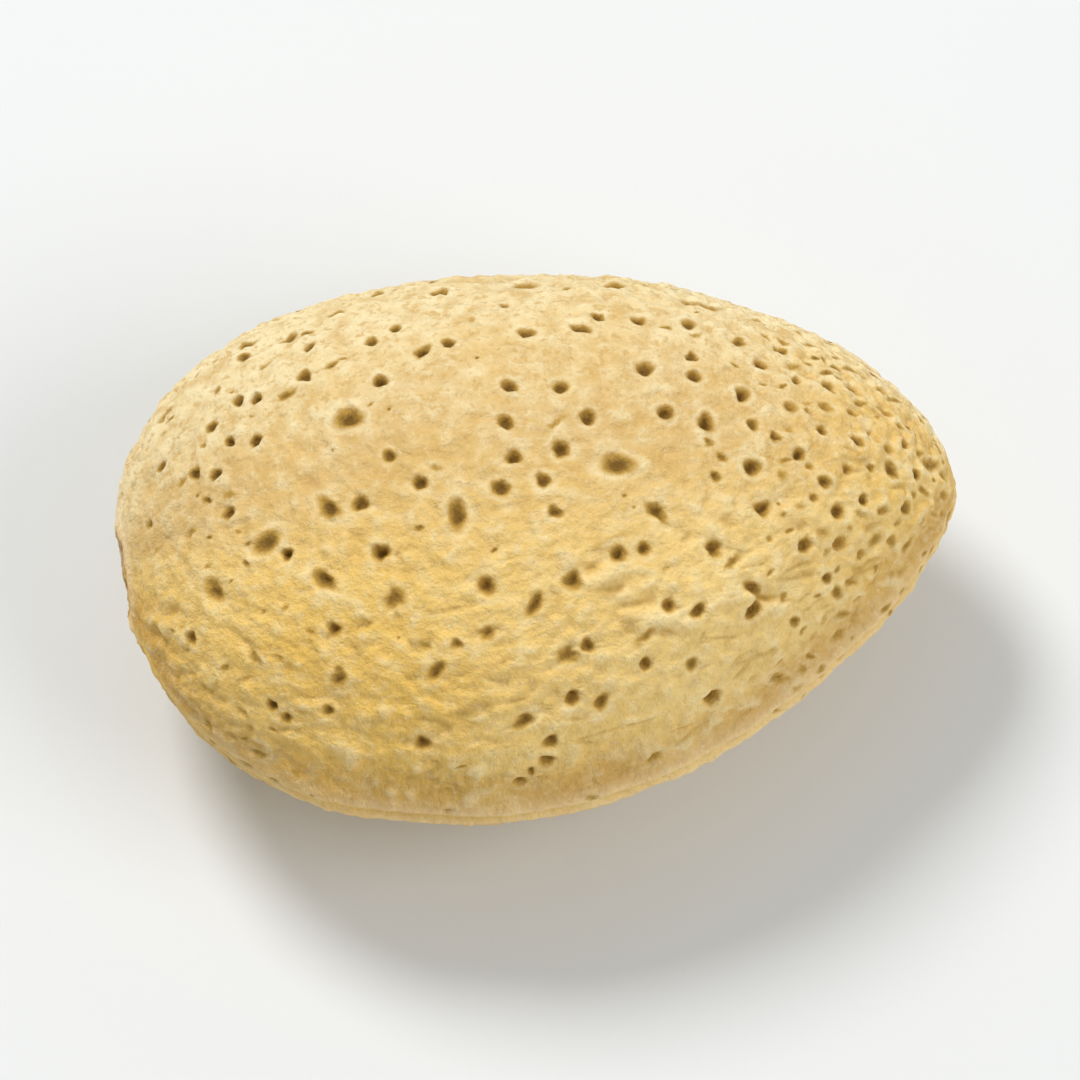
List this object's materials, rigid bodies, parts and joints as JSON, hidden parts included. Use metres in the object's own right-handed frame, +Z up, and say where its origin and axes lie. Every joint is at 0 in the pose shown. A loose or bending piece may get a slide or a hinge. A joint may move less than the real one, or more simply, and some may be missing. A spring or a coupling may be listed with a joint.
{
  "type": "almond in its shell",
  "caption": "Almond in its shell: a flattened, egg-shaped nut with a pointed tip, a keeled edge and a pitted tan surface, lying on a small flat spot.",
  "frame": {"origin": "under the middle of the nut's box, on the surface that it rests on", "axes": "+X from the stem end to the tip, +Y from the keeled edge to the back edge, +Z up through the thickness"},
  "size_m": [0.034, 0.0242, 0.016],
  "materials": {
    "shell": "matte"
  },
  "bodies": {
    "root": {"almond": "shell"}
  },
  "joints": []
}
